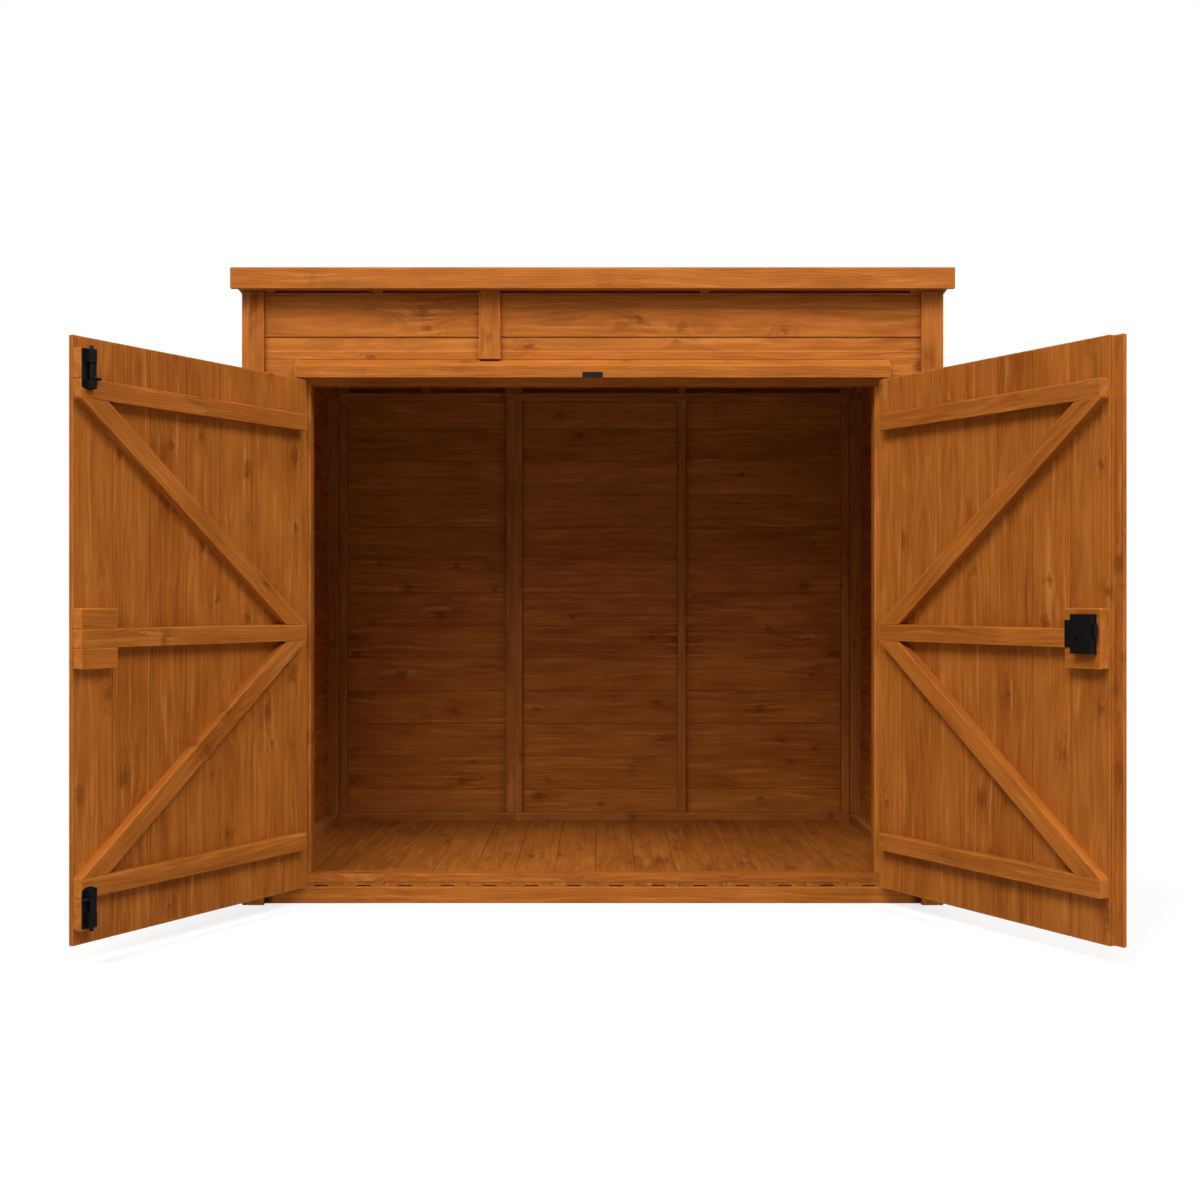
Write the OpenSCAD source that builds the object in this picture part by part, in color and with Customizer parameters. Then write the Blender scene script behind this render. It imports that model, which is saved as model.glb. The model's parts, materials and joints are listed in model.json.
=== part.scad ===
// Timber pent bike shed with double doors. Millimetres, +Z up, the doors face -Y.
// The origin is the centre of the floor plan, at ground level.

/* [Shed] */
// Width over the wall frames
frame_w = 1901; // [1500:1:2600]
// Depth over the wall frames
frame_d = 1175; // [900:1:1800]
// Height of the front wall frame above the ground
front_h = 1707; // [1640:1:2100]
// Height of the back wall frame above the ground
back_h = 1590; // [1450:1:1700]

/* [Timber] */
// Width of studs, rails and rafters, seen from inside
stud_w = 28; // [22:1:45]
// Depth of studs and rails through the wall
stud_d = 36; // [28:1:50]
// Thickness of the wall cladding
clad_t = 12; // [8:1:20]
// Height of the cladding's lower edge above the ground
clad_z = 50; // [20:1:56]
// Thickness of corner trims, fascias and cover strips
trim_t = 14; // [9:1:20]
// Width of the corner trims
trim_w = 47; // [35:1:70]
// Width of the cover strips over the panel joints
cover_w = 60; // [60:1:90]
// Place of the panel joint, from the middle of the shed
joint_x = -287; // [-400:1:-200]
// Place of the single stud of the wider panel
stud_x = 313.5; // [200:0.5:450]

/* [Floor] */
// Height of a floor joist
joist_h = 47; // [35:1:75]
// Width of a floor joist
joist_w = 28; // [22:1:50]
// Number of floor joists
joist_n = 5; // [3:2:7]
// Thickness of the floor
floor_t = 12; // [9:1:20]

/* [Roof] */
// Height of the rafters and of the roof's edge rails
rafter_h = 40; // [32:1:60]
// Thickness of the roof boards
roof_t = 12; // [8:1:18]
// Thickness of the roof felt
felt_t = 2; // [1:0.5:4]
// Place of the rafter in the middle of the narrower panel
rafter_x = -600; // [-700:1:-500]
// How far the roof's side rails run past the wall frames
roof_over = 30.5; // [26:0.5:60]
// Height of the front and rear fascias
fascia_h = 58.5; // [50:0.5:90]
// How far the front fascia runs past the bargeboards
fascia_over = 4; // [0:1:20]
// Height of the side bargeboards
barge_h = 40; // [30:1:54]

/* [Doorway] */
// Clear width between the door jambs
opening_w = 1578; // [1100:1:1640]
// Depth of the jambs, head and sill
lining_d = 47; // [40:1:70]
// Height of the sill
sill_h = 24; // [18:1:40]
// Underside of the door head, above the ground
head_z = 1452; // [1300:1:1480]
// Height of the drip board's face
drip_face_h = 34; // [25:1:45]
// Height of the bevel on top of the drip board
drip_bevel_h = 20; // [10:1:30]
// Depth of the drip board in front of the door head
drip_d = 47; // [44:1:70]
// How far the drip board runs past the jambs
drip_over = 9.5; // [2:0.5:20]

/* [Doors] */
// Gap between the two doors when both are shut
meeting_gap = 12; // [8:1:20]
// How far a door laps over its jamb
door_lap = 16; // [8:1:20]
// Lower edge of the doors, above the ground
door_z = 52; // [40:1:56]
// Gap above the doors, below the drip board
door_top_gap = 5; // [5:0.5:12]
// Gap between a shut door and the door frame behind it
door_back_gap = 5; // [5:0.5:8]
// Thickness of the door boards
door_t = 12; // [10:1:20]
// Thickness of ledges, braces and blocks
ledge_t = 28; // [20:1:35]
// Width of the ledges
ledge_w = 45; // [38:1:60]
// Width of the braces
brace_w = 48; // [38:1:60]
// Lower edge of the bottom ledge, above the ground
low_ledge_z = 163; // [150:1:250]
// Lower edge of the middle ledge, above the ground
mid_ledge_z = 738; // [650:1:800]
// Lower edge of the top ledge, above the ground
top_ledge_z = 1315; // [1200:1:1330]
// How far the ledges stop short of the hinge edge
ledge_inset = 30; // [26:1:60]
// How far the ledges and blocks stop short of the free edge
free_inset = 2.5; // [1:0.5:10]
// Angle at which both doors stand open
open_angle = 120; // [60:1:150]
// Width of the meeting strip on the right door
strip_w = 47; // [40:1:60]
// How far the meeting strip runs past the door's free edge
strip_over = 25; // [18:1:30]

/* [Hinges] */
// Distance of the hinge axis in front of the door boards
hinge_out = 5; // [5:0.5:8]
// Distance of the hinge axis from the door's edge
hinge_side = 3; // [2:0.5:6]
// Radius of the hinge knuckle
knuckle_r = 5; // [4:0.5:6]
// Radius of the hinge pin
pin_r = 2.5; // [2:0.5:3]
// Thickness of the hinge straps and plates
strap_t = 3; // [2:0.5:4]
// Length of a hinge strap on the door
strap_l = 300; // [200:1:400]
// Height of a hinge's knuckle and plate
plate_h = 90; // [60:1:120]
// Width of a hinge plate on the door frame
plate_w = 34; // [25:1:50]

/* [Bolts and lock] */
// Radius of the tower bolts' rods
rod_r = 5; // [4:0.5:7]
// Length of the tower bolts' rods
rod_l = 98; // [80:1:130]
// Width of a tower bolt's plate
bolt_plate_w = 42; // [30:1:43]
// Throw of the top bolt
top_throw = 30; // [20:1:32]
// Throw of the bottom bolt
bottom_throw = 24; // [15:1:26]
// Radius of the holes for the bolts in the head and sill
hole_r = 7; // [6:0.5:9]
// Width of the blocks that carry the tower bolts
bolt_block_w = 44; // [40:1:60]
// Height of the top bolt's block
top_block_h = 70; // [50:1:80]
// Height of the bottom bolt's block
bottom_block_h = 75; // [60:1:78]
// Width of the lock block and strike blocks
lock_block_w = 108; // [95:1:140]
// Height of the lock block, and of the stack of strike blocks
lock_block_h = 141; // [120:1:160]
// Width of the lock case
lock_w = 61; // [58:1:63]
// Height of the lock case
lock_h = 92; // [70:1:100]
// Thickness of the lock case
lock_t = 20; // [15:1:25]
// Height of the lock bolt
latch_h = 30; // [20:1:40]
// How far the lock bolt stands out of its case when drawn back
latch_out = 9; // [5:1:12]

/* [Hidden] */
$fn = 48;

timber = [0.71, 0.40, 0.18];
inner_timber = [0.50, 0.25, 0.10];
black = [0.05, 0.05, 0.05];
felt_grey = [0.16, 0.17, 0.17];

half_w = frame_w / 2;
half_d = frame_d / 2;
inner_w = half_w - stud_d;
inner_d = half_d - stud_d;
clad_w = half_w + clad_t;
clad_d = half_d + clad_t;
face_w = clad_w + trim_t;
face_d = clad_d + trim_t;
floor_z = joist_h + floor_t;

// The underside of the roof falls in a straight line from the front to the back.
fall = (front_h - back_h) / frame_d;
function under(y) = front_h - (y + half_d) * fall;
// Sloping seats keep this much air between two timbers.
seat = 0.3;

roof_half = half_w + roof_over;
roof_side = roof_half + trim_t;
eaves = face_d + stud_w;
boards_low = rafter_h + seat;
felt_low = boards_low + roof_t;
roof_top = felt_low + felt_t;

jamb_x = opening_w / 2;
jamb_out = jamb_x + stud_w;
head_top = head_z + stud_w;
drip_z = head_z + trim_t;
drip_top = drip_z + drip_face_h + drip_bevel_h;
door_edge = jamb_x + door_lap;
door_free = meeting_gap / 2;
door_top = drip_z - door_top_gap;
door_in = -half_d - door_back_gap;
door_out = door_in - door_t;
hinge_x = door_edge + hinge_side;
hinge_y = door_out - hinge_out;
ledge_end = door_edge - ledge_inset;
ledge_free = door_free + free_inset;
ledge_face = door_in + ledge_t;
lock_block_z = mid_ledge_z + ledge_w / 2 - lock_block_h / 2;
hinge_zs = [low_ledge_z, mid_ledge_z, top_ledge_z];

rod_x = ledge_free + bolt_block_w / 2;
bolt_plate_t = 2;
rod_off_plate = 1.5;
knob_z = 24;
knob_r = 4;
knob_l = 26;
knob_gap = 1;
rod_y = ledge_face + bolt_plate_t + rod_r + rod_off_plate;
tip_gap = 5;
top_tip = head_z - tip_gap - 12;
bottom_tip = floor_z + sill_h + tip_gap;
bolt_fit = 0.4;
latch_fit = 0.4;
pin_gap = 0.3;
screw_r = 2.5;
over = 1;

lock_x = ledge_free + 12.5;
lock_z = mid_ledge_z + ledge_w / 2 + 10.5;
latch_z = lock_z + 8;
latch_y0 = ledge_face + 6;
latch_y1 = latch_y0 + 9;

// A box from one corner to the opposite one
module block(low, high) {
  translate(low) cube(high - low);
}

// A box and its twin on the other side of the shed
module pair(low, high) {
  block(low, high);
  mirror([1, 0, 0]) block(low, high);
}

// An outline of [y, z] points, carried from x0 to x1
module side_outline(x0, x1, points) {
  translate([x0, 0, 0]) rotate([90, 0, 90]) linear_extrude(x1 - x0) polygon(points);
}

// An outline of [x, z] points, carried from y0 to y1
module front_outline(y0, y1, points) {
  translate([0, y1, 0]) rotate([90, 0, 0]) linear_extrude(y1 - y0) polygon(points);
}

// A timber from x0 to x1 and y0 to y1 that stands on z and is cut off just under the roof
module under_roof(x0, x1, y0, y1, z, below = 0) {
  side_outline(x0, x1, [[y0, z], [y1, z], [y1, under(y1) - below - seat], [y0, under(y0) - below - seat]]);
}

// A timber from x0 to x1 and y0 to y1 that follows the roof, between two heights above its underside
module along_roof(x0, x1, y0, y1, low, high) {
  side_outline(x0, x1, [[y0, under(y0) + low], [y1, under(y1) + low], [y1, under(y1) + high],
    [y0, under(y0) + high]]);
}

module floor_joists() {
  color(timber) for (i = [0 : joist_n - 1]) {
    y = -half_d + i * (frame_d - joist_w) / (joist_n - 1);
    block([-half_w, y, 0], [half_w, y + joist_w, joist_h]);
  }
}

module floor_boards() {
  color(inner_timber) block([-half_w, -half_d, joist_h], [half_w, half_d, floor_z]);
}

module back_wall_cladding() {
  color(timber) under_roof(-half_w, half_w, half_d, clad_d, clad_z);
}

module left_wall_cladding() {
  color(timber) under_roof(-clad_w, -half_w, -clad_d, clad_d, clad_z);
}

module right_wall_cladding() {
  color(timber) under_roof(half_w, clad_w, -clad_d, clad_d, clad_z);
}

module front_side_cladding() {
  color(timber) {
    under_roof(-half_w, -jamb_out, -clad_d, -half_d, clad_z);
    under_roof(jamb_out, half_w, -clad_d, -half_d, clad_z);
  }
}

module front_top_cladding() {
  color(timber) under_roof(-jamb_out, jamb_out, -clad_d, -half_d, drip_top);
}

// A stud between the bottom and top rails, from x0 to x1 and y0 to y1
module stud(x0, x1, y0, y1, z = floor_z + stud_w) {
  under_roof(x0, x1, y0, y1, z, stud_w + seat);
}

module back_wall_studs() {
  color(inner_timber)
    for (x = [-inner_w, joint_x - stud_w, joint_x, stud_x - stud_w / 2, inner_w - stud_w])
      stud(x, x + stud_w, inner_d, half_d);
}

// A bottom and a top rail for each of the back wall's two panels
module back_wall_rails() {
  color(inner_timber) for (ends = [[-half_w, joint_x], [joint_x, half_w]]) {
    block([ends[0], inner_d, floor_z], [ends[1], half_d, floor_z + stud_w]);
    along_roof(ends[0], ends[1], inner_d, half_d, -stud_w - seat, -seat);
  }
}

module side_wall_studs() {
  color(inner_timber) for (x = [-half_w, inner_w], y = [-inner_d, -stud_w / 2, inner_d - stud_w])
    stud(x, x + stud_d, y, y + stud_w);
}

module side_wall_rails() {
  color(inner_timber) for (x = [-half_w, inner_w]) {
    block([x, -inner_d, floor_z], [x + stud_d, inner_d, floor_z + stud_w]);
    along_roof(x, x + stud_d, -inner_d, inner_d, -stud_w - seat, -seat);
  }
}

// End studs beside the doorway and short studs over it
module front_wall_studs() {
  color(inner_timber) {
    for (x = [-inner_w, inner_w - stud_w])
      stud(x, x + stud_w, -half_d, -inner_d);
    for (x = [-jamb_out, joint_x - stud_w, joint_x, stud_x - stud_w / 2, jamb_x])
      stud(x, x + stud_w, -half_d, -inner_d, head_top);
  }
}

// Short bottom rails beside the doorway, and the plate that carries the rafters
module front_wall_rails() {
  color(inner_timber) {
    pair([jamb_out, -half_d, floor_z], [half_w, -inner_d, floor_z + stud_w]);
    along_roof(-half_w, half_w, -half_d, -inner_d, -stud_w - seat, -seat);
  }
}

module door_jambs() {
  color(timber) pair([jamb_x, -half_d, floor_z + sill_h], [jamb_out, -half_d + lining_d, head_z]);
}

// A head or sill with the hole that its tower bolt shoots into
module bolted_rail(z0, z1) {
  difference() {
    block([-jamb_out, -half_d, z0], [jamb_out, -half_d + lining_d, z1]);
    translate([-rod_x, rod_y, z0 - over]) cylinder(r = hole_r, h = z1 - z0 + 2 * over);
  }
}

module door_head() {
  color(timber) bolted_rail(head_z, head_top);
}

module door_sill() {
  color(timber) bolted_rail(floor_z, floor_z + sill_h);
}

module rafters() {
  color(inner_timber)
    for (x = [-inner_w, rafter_x - stud_w / 2, joint_x - stud_w, joint_x, stud_x - stud_w / 2, inner_w - stud_w])
      along_roof(x, x + stud_w, -face_d, face_d, 0, rafter_h);
}

// Front, rear and side rails round the edge of the roof
module roof_edge_rails() {
  color(inner_timber) {
    for (y = [-eaves, face_d])
      along_roof(-roof_half, roof_half, y, y + stud_w, 0, rafter_h);
    for (x = [-roof_half, roof_half - stud_w])
      along_roof(x, x + stud_w, -face_d, face_d, 0, rafter_h);
  }
}

module roof_boards() {
  color(inner_timber) along_roof(-roof_half, roof_half, -eaves, eaves, boards_low, felt_low);
}

module roof_felt() {
  color(felt_grey) along_roof(-roof_half, roof_half, -eaves, eaves, felt_low, roof_top);
}

module front_fascia() {
  top = under(-eaves) + roof_top;
  color(timber) block([-roof_side - fascia_over, -eaves - trim_t, top - fascia_h],
    [roof_side + fascia_over, -eaves, top]);
}

module side_bargeboards() {
  color(timber) for (x = [-roof_side, roof_half])
    along_roof(x, x + trim_t, -eaves, eaves, roof_top - barge_h, roof_top);
}

module rear_fascia() {
  top = under(eaves + trim_t) + roof_top;
  color(timber) block([-roof_side - fascia_over, eaves, top - fascia_h],
    [roof_side + fascia_over, eaves + trim_t, top]);
}

// Upright boards at the corners of the front and the back, from the ground to the roof
module corner_trims() {
  color(timber)
    for (x = [-clad_w, clad_w - trim_w]) {
      under_roof(x, x + trim_w, -face_d, -clad_d, 0);
      under_roof(x, x + trim_w, clad_d, face_d, 0);
    }
}

// Upright boards at the corners of the two sides, over the edges of the corner trims
module side_corner_trims() {
  color(timber)
    for (x = [-face_w, clad_w]) {
      under_roof(x, x + trim_t, -face_d, -face_d + trim_w, 0);
      under_roof(x, x + trim_t, face_d - trim_w, face_d, 0);
    }
}

// Strips over the joint between two panels, above the doors and down the back wall
module cover_strips() {
  color(timber) {
    under_roof(joint_x - cover_w / 2, joint_x + cover_w / 2, -face_d, -clad_d, drip_top);
    under_roof(joint_x - cover_w / 2, joint_x + cover_w / 2, clad_d, face_d, clad_z);
  }
}

// The bevelled board that throws rain clear of the doors
module drip_board() {
  front = -half_d - drip_d;
  face_top = drip_z + drip_face_h;
  color(timber) difference() {
    side_outline(-jamb_out - drip_over, jamb_out + drip_over, [[front, drip_z], [-half_d, drip_z],
      [-half_d, drip_top], [-clad_d, drip_top], [front, face_top]]);
    pair([jamb_out, -clad_d, drip_z - over], [jamb_out + drip_over + over, -half_d + over, drip_top + over]);
  }
}

module drip_plate() {
  plate = [56, 2, 15];
  color(black) block([-plate[0] / 2, -half_d - drip_d - plate[1], drip_z],
    [plate[0] / 2, -half_d - drip_d, drip_z + plate[2]]);
}

// The part of a hinge that stays on the wall: plate, web, middle knuckle and pin
module frame_hinge(z) {
  third = plate_h / 3;
  z0 = z + ledge_w / 2 - plate_h / 2;
  plate_x = jamb_out + 2;
  screw_in = 21;
  difference() {
    union() {
      block([plate_x, -clad_d - strap_t, z0], [plate_x + plate_w, -clad_d, z0 + plate_h]);
      block([hinge_x, hinge_y - strap_t / 2, z0 + third], [plate_x + strap_t, hinge_y + strap_t / 2, z0 + 2 * third]);
      block([plate_x, hinge_y - strap_t / 2, z0 + third], [plate_x + strap_t, -clad_d, z0 + 2 * third]);
      translate([hinge_x, hinge_y, z0 + third]) cylinder(r = knuckle_r, h = third);
      translate([hinge_x, hinge_y, z0]) cylinder(r = pin_r, h = plate_h);
    }
    for (up = [-1, 1])
      translate([plate_x + screw_in, -clad_d - strap_t - over, z0 + plate_h / 2 + up * third])
        rotate([-90, 0, 0]) cylinder(r = screw_r, h = strap_t + 2 * over);
  }
}

module frame_hinges() {
  color(black) for (z = hinge_zs) {
    frame_hinge(z);
    mirror([1, 0, 0]) frame_hinge(z);
  }
}

// Turns a right door's piece from the shut place to the place where it stands open
module right_open() {
  translate([hinge_x, hinge_y, 0]) rotate([0, 0, open_angle]) translate([-hinge_x, -hinge_y, 0]) children();
}

// A left door is the mirror image of a right one
module left_open() {
  mirror([1, 0, 0]) right_open() children();
}

module door_boards() {
  color(timber) block([door_free, door_out, door_z], [door_edge, door_in, door_top]);
}

module ledge(z, free) {
  block([free, door_in, z], [ledge_end, ledge_face, z + ledge_w]);
}

// Level width of a brace's cut end, for a brace that climbs by rise while it crosses run
function cut_w(rise, run) = (brace_w * rise * sqrt(rise * rise + run * run - brace_w * brace_w)
  - brace_w * brace_w * run) / (rise * rise - brace_w * brace_w);

// A brace between two heights, from the ledges' hinge end at one to their free end at the other
module brace(hinge_z, free_z) {
  cut = cut_w(abs(free_z - hinge_z), ledge_end - ledge_free);
  front_outline(door_in, ledge_face, [[ledge_end - cut, hinge_z], [ledge_end, hinge_z],
    [ledge_free + cut, free_z], [ledge_free, free_z]]);
}

// The two braces meet at the hinge end of the middle ledge
module braces() {
  color(timber) {
    brace(mid_ledge_z + ledge_w, top_ledge_z);
    brace(mid_ledge_z, low_ledge_z + ledge_w);
  }
}

// A tapered strap on the door's outer face, with the knuckles that turn on the pin
module door_strap(z) {
  third = plate_h / 3;
  middle = z + ledge_w / 2;
  z0 = middle - plate_h / 2;
  shoulder = door_edge - 26;
  tip = door_edge - strap_l;
  difference() {
    union() {
      front_outline(door_out - strap_t, door_out, [[door_edge - 1, z0 + 8], [door_edge - 1, z0 + plate_h - 8],
        [shoulder, middle + 23], [tip, middle + 10], [tip, middle - 10], [shoulder, middle - 23]]);
      for (part = [0, 2])
        translate([0, 0, z0 + part * third + pin_gap]) {
          translate([hinge_x, hinge_y, 0]) cylinder(r = knuckle_r, h = third - 2 * pin_gap);
          block([door_edge - 6, door_out - strap_t, 0], [hinge_x, hinge_y + knuckle_r, third - 2 * pin_gap]);
        }
    }
    translate([hinge_x, hinge_y, z0 - over]) cylinder(r = pin_r + pin_gap, h = plate_h + 2 * over);
    translate([hinge_x, hinge_y, z0 + third - pin_gap])
      cylinder(r = knuckle_r + pin_gap, h = third + 2 * pin_gap);
    for (x = [60, 150, 240])
      translate([door_edge - x, door_out - strap_t - over, middle]) rotate([-90, 0, 0])
        cylinder(r = screw_r, h = strap_t + 2 * over);
  }
}

module left_door_boards() {
  left_open() door_boards();
}

module left_door_ledges() {
  color(timber) left_open() for (z = hinge_zs) ledge(z, ledge_free);
}

module left_door_braces() {
  left_open() braces();
}

// Bolt blocks at the top and bottom corners, strike blocks above and below the middle ledge
module left_door_blocks() {
  bolt_x = ledge_free + bolt_block_w;
  strike_x = ledge_free + lock_block_w;
  color(timber) left_open() {
    block([ledge_free, door_in, top_ledge_z + ledge_w], [bolt_x, ledge_face, top_ledge_z + ledge_w + top_block_h]);
    block([ledge_free, door_in, low_ledge_z - bottom_block_h], [bolt_x, ledge_face, low_ledge_z]);
    block([ledge_free, door_in, lock_block_z], [strike_x, ledge_face, mid_ledge_z]);
    block([ledge_free, door_in, mid_ledge_z + ledge_w], [strike_x, ledge_face, lock_block_z + lock_block_h]);
  }
}

module left_door_straps() {
  color(black) left_open() for (z = hinge_zs) door_strap(z);
}

// The plate and two guides of a tower bolt whose rod's tip is at z = 0 and points up. The knob slides
// between the guides, and the plate's far end is round
module bolt_housing(throw) {
  plate_z = rod_l + 3;
  plate_down = 6;
  end_r = 0.8 * bolt_plate_w;
  guide_w = 2 * rod_r + 10;
  guide_in = 2;
  guide_y = rod_y + rod_r + 2.5;
  knob_low = knob_z - rod_l - knob_r - knob_gap;
  knob_high = knob_z - rod_l + throw + knob_r + knob_gap;
  difference() {
    union() {
      difference() {
        block([rod_x - bolt_plate_w / 2, ledge_face, -plate_z],
          [rod_x + bolt_plate_w / 2, ledge_face + bolt_plate_t, -plate_down]);
        difference() {
          block([rod_x - bolt_plate_w / 2 - over, ledge_face - over, -plate_z - over],
            [rod_x + bolt_plate_w / 2 + over, ledge_face + bolt_plate_t + over, -plate_z + end_r / 2]);
          translate([rod_x, ledge_face - 2 * over, -plate_z + end_r]) rotate([-90, 0, 0])
            cylinder(r = end_r, h = bolt_plate_t + 4 * over);
        }
      }
      for (z = [[-plate_z + guide_in, knob_low], [knob_high, -plate_down - guide_in]])
        block([rod_x - guide_w / 2, ledge_face, z[0]], [rod_x + guide_w / 2, guide_y, z[1]]);
    }
    translate([rod_x, rod_y, -plate_z - over]) cylinder(r = rod_r + bolt_fit, h = plate_z + 2 * over);
  }
}

// The rod, with its tip at z = 0, and the knob that slides it
module bolt_rod() {
  translate([rod_x, rod_y, -rod_l]) cylinder(r = rod_r, h = rod_l);
  translate([rod_x, rod_y, -rod_l + knob_z]) rotate([0, 90, 0]) cylinder(r = knob_r, h = knob_l);
}

module at_top_bolt() {
  translate([0, 0, top_tip]) children();
}

// The bottom bolt is the top one turned over
module at_bottom_bolt() {
  translate([2 * rod_x, 0, bottom_tip]) rotate([0, 180, 0]) children();
}

module bolt_housings() {
  color(black) left_open() {
    at_top_bolt() bolt_housing(top_throw);
    at_bottom_bolt() bolt_housing(bottom_throw);
  }
}

module top_bolt() {
  color(black) left_open() at_top_bolt() bolt_rod();
}

module bottom_bolt() {
  color(black) left_open() at_bottom_bolt() bolt_rod();
}

module right_door_boards() {
  right_open() door_boards();
}

module right_door_ledges() {
  color(timber) right_open() {
    ledge(low_ledge_z, ledge_free);
    ledge(mid_ledge_z, ledge_free + lock_block_w);
    ledge(top_ledge_z, ledge_free);
  }
}

module right_door_braces() {
  right_open() braces();
}

module lock_block() {
  color(timber) right_open() block([ledge_free, door_in, lock_block_z],
    [ledge_free + lock_block_w, ledge_face, lock_block_z + lock_block_h]);
}

// The case, its fixing flange and the keyhole, with a slot for the bolt
module lock_case() {
  flange_w = 32;
  flange_h = 64;
  flange_t = 3;
  key_x = lock_x + 42;
  key_z = lock_z - 8;
  key_deep = 8;
  rose_r = 15;
  rose_t = 3;
  slot_l = 40;
  color(black) right_open() difference() {
    union() {
      block([lock_x, ledge_face, lock_z - lock_h / 2], [lock_x + lock_w, ledge_face + lock_t, lock_z + lock_h / 2]);
      block([lock_x + lock_w, ledge_face, lock_z - flange_h / 2],
        [lock_x + lock_w + flange_w, ledge_face + flange_t, lock_z + flange_h / 2]);
      translate([key_x, ledge_face + lock_t - over, key_z]) rotate([-90, 0, 0])
        cylinder(r = rose_r, h = rose_t + over);
    }
    block([lock_x - over, latch_y0 - latch_fit, latch_z - latch_h / 2 - latch_fit],
      [lock_x + slot_l, latch_y1 + latch_fit, latch_z + latch_h / 2 + latch_fit]);
    translate([key_x, ledge_face + lock_t - key_deep, key_z]) rotate([-90, 0, 0])
      cylinder(r = 3, h = key_deep + rose_t + over);
    block([key_x - 1.5, ledge_face + lock_t - key_deep, key_z - 9],
      [key_x + 1.5, ledge_face + lock_t + rose_t + over, key_z]);
  }
}

module lock_bolt() {
  bolt_l = 30;
  color([0.55, 0.55, 0.55]) right_open()
    block([lock_x - latch_out, latch_y0, latch_z - latch_h / 2],
      [lock_x - latch_out + bolt_l, latch_y1, latch_z + latch_h / 2]);
}

// The strip laps over the left door, and is rebated to stay clear of it
module meeting_strip() {
  rebate = 5;
  x0 = door_free - strip_over;
  color(timber) right_open() difference() {
    block([x0, door_out - trim_t, door_z], [x0 + strip_w, door_out, door_top]);
    block([x0 - over, door_out - rebate, door_z - over], [door_free, door_out + over, door_top + over]);
  }
}

module right_door_straps() {
  color(black) right_open() for (z = hinge_zs) door_strap(z);
}

floor_joists();
floor_boards();
back_wall_cladding();
left_wall_cladding();
right_wall_cladding();
front_side_cladding();
front_top_cladding();
back_wall_studs();
back_wall_rails();
side_wall_studs();
side_wall_rails();
front_wall_studs();
front_wall_rails();
door_jambs();
door_head();
door_sill();
rafters();
roof_edge_rails();
roof_boards();
roof_felt();
front_fascia();
side_bargeboards();
rear_fascia();
corner_trims();
side_corner_trims();
cover_strips();
drip_board();
drip_plate();
frame_hinges();
left_door_boards();
left_door_ledges();
left_door_braces();
left_door_blocks();
left_door_straps();
bolt_housings();
top_bolt();
bottom_bolt();
right_door_boards();
right_door_ledges();
right_door_braces();
lock_block();
lock_case();
meeting_strip();
right_door_straps();
lock_bolt();
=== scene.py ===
import json
import math
import bmesh
import bpy
import numpy as np
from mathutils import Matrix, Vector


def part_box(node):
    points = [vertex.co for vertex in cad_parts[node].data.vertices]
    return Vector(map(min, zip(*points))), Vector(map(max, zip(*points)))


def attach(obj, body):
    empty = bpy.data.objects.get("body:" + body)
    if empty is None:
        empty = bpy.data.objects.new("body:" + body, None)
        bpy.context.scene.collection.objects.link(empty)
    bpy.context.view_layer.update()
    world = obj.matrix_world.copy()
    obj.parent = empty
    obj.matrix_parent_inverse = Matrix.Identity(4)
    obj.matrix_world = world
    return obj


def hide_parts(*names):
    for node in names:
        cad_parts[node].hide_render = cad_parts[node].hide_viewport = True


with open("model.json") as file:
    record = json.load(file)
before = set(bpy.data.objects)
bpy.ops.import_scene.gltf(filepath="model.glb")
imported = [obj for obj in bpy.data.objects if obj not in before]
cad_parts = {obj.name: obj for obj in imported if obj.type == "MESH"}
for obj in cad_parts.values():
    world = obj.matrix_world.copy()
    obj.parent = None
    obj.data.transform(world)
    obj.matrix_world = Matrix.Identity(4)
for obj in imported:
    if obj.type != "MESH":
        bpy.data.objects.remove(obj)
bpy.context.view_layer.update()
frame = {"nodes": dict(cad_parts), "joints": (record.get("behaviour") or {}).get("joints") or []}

# ---- Viewpoint -----------------------------------------------------------------------------------------
# The shed is seen square on from the front, level, at about half its height, with both doors open. The
# lens takes in 45 degrees.
camera = bpy.data.objects.new("camera", bpy.data.cameras.new("camera"))
bpy.context.scene.collection.objects.link(camera)
camera.location = (0.0204, -4.6445, 0.8497)
camera.rotation_euler = (math.pi / 2, 0.0, 0.0)
camera.data.sensor_width = 36.0
camera.data.lens = 18.0 / math.tan(math.radians(22.5))
camera.data.clip_end = 100.0
bpy.context.scene.camera = camera

# ---- Floor joists --------------------------------------------------------------------------------------
# Five sawn softwood joists run the length of the shed on the ground. They are pressure treated and
# stained the same orange brown as the walls, with the arrises just taken off.
rng = np.random.default_rng(118)


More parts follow.
